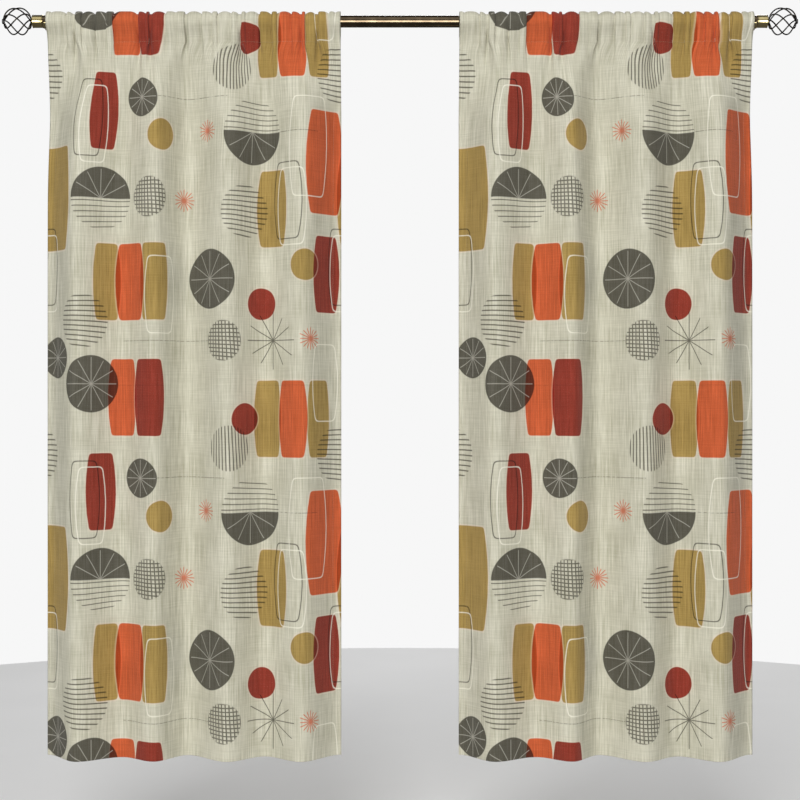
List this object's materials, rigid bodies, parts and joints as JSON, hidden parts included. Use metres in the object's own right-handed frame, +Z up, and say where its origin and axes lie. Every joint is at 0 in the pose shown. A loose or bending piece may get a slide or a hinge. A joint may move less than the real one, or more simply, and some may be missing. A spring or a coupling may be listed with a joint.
{
  "type": "rod pocket curtains",
  "caption": "Gathered rod-pocket window curtains in a printed cloth, on an adjustable metal rod with spiral cage finials and open wall brackets.",
  "frame": {"origin": "on the wall, midway between the two wall brackets and level with the rod's axis", "axes": "+X along the rod to the right as seen from the room, +Y into the wall, +Z up; the room is towards -Y"},
  "size_m": [1.6962, 0.1194, 1.603],
  "materials": {
    "printed_cloth": "linen-look cotton, printed",
    "hem_cloth": "the same cloth, turned over and sewn",
    "bronze_steel": "dark bronze plating, satin",
    "antique_brass": "antique brass, satin",
    "black_wire": "black lacquered steel wire",
    "zinc_steel": "zinc plated",
    "nylon": "natural nylon"
  },
  "bodies": {
    "brackets": {"left_wall_plate": "zinc_steel", "left_bracket_cover": "antique_brass", "left_cover_lock_screw": "zinc_steel", "left_bracket_arm": "antique_brass", "left_arm_screw": "zinc_steel", "left_rod_cradle": "antique_brass", "right_wall_plate": "zinc_steel", "right_bracket_cover": "antique_brass", "right_cover_lock_screw": "zinc_steel", "right_bracket_arm": "antique_brass", "right_arm_screw": "zinc_steel", "right_rod_cradle": "antique_brass"},
    "left_thumb_screw": {"left_cradle_screw": "antique_brass"},
    "right_thumb_screw": {"right_cradle_screw": "antique_brass"},
    "rod": {"rod_left_tube": "bronze_steel", "rod_inner_tube": "zinc_steel", "rod_inner_left_glide": "nylon", "rod_inner_right_glide": "nylon", "rod_join_rivet": "zinc_steel", "rod_left_end_plug": "nylon"},
    "right_tube": {"rod_right_tube": "bronze_steel", "rod_right_end_plug": "nylon"},
    "left_panel": {"left_panel_rod_pocket": "printed_cloth", "left_panel_cloth": "printed_cloth", "left_panel_left_side_hem": "hem_cloth", "left_panel_right_side_hem": "hem_cloth", "left_panel_bottom_hem": "hem_cloth"},
    "left_finial": {"left_finial_neck": "antique_brass", "left_finial_stud": "zinc_steel", "left_finial_hub": "black_wire", "left_finial_tip_disc": "black_wire", "left_finial_wire_1": "black_wire", "left_finial_wire_2": "black_wire", "left_finial_wire_3": "black_wire", "left_finial_wire_4": "black_wire", "left_finial_wire_5": "black_wire", "left_finial_wire_6": "black_wire"},
    "right_panel": {"right_panel_rod_pocket": "printed_cloth", "right_panel_cloth": "printed_cloth", "right_panel_left_side_hem": "hem_cloth", "right_panel_right_side_hem": "hem_cloth", "right_panel_bottom_hem": "hem_cloth"},
    "right_finial": {"right_finial_neck": "antique_brass", "right_finial_stud": "zinc_steel", "right_finial_hub": "black_wire", "right_finial_tip_disc": "black_wire", "right_finial_wire_1": "black_wire", "right_finial_wire_2": "black_wire", "right_finial_wire_3": "black_wire", "right_finial_wire_4": "black_wire", "right_finial_wire_5": "black_wire", "right_finial_wire_6": "black_wire"}
  },
  "joints": [
    {"name": "rod_lift", "type": "slide", "parent": "brackets", "child": "rod", "axis": [0, 0, 1], "range_m": [0, 0.06]},
    {"name": "rod_extend", "type": "slide", "parent": "rod", "child": "right_tube", "axis": [1, 0, 0], "range_m": [0, 0.3]},
    {"name": "left_panel_draw", "type": "slide", "parent": "rod", "child": "left_panel", "axis": [1, 0, 0], "range_m": [0, 0.12]},
    {"name": "right_panel_draw", "type": "slide", "parent": "rod", "child": "right_panel", "axis": [-1, 0, 0], "range_m": [0, 0.12]},
    {"name": "left_finial_turn", "type": "hinge", "parent": "rod", "child": "left_finial", "pos_m": [-0.772, -0.089, 0], "axis": [1, 0, 0], "continuous": true},
    {"name": "right_finial_turn", "type": "hinge", "parent": "right_tube", "child": "right_finial", "pos_m": [0.772, -0.089, 0], "axis": [1, 0, 0], "continuous": true},
    {"name": "left_thumb_screw_loosen", "type": "slide", "parent": "brackets", "child": "left_thumb_screw", "axis": [0, 0.7071, -0.7071], "range_m": [0, 0.004]},
    {"name": "right_thumb_screw_loosen", "type": "slide", "parent": "brackets", "child": "right_thumb_screw", "axis": [0, 0.7071, -0.7071], "range_m": [0, 0.004]}
  ]
}
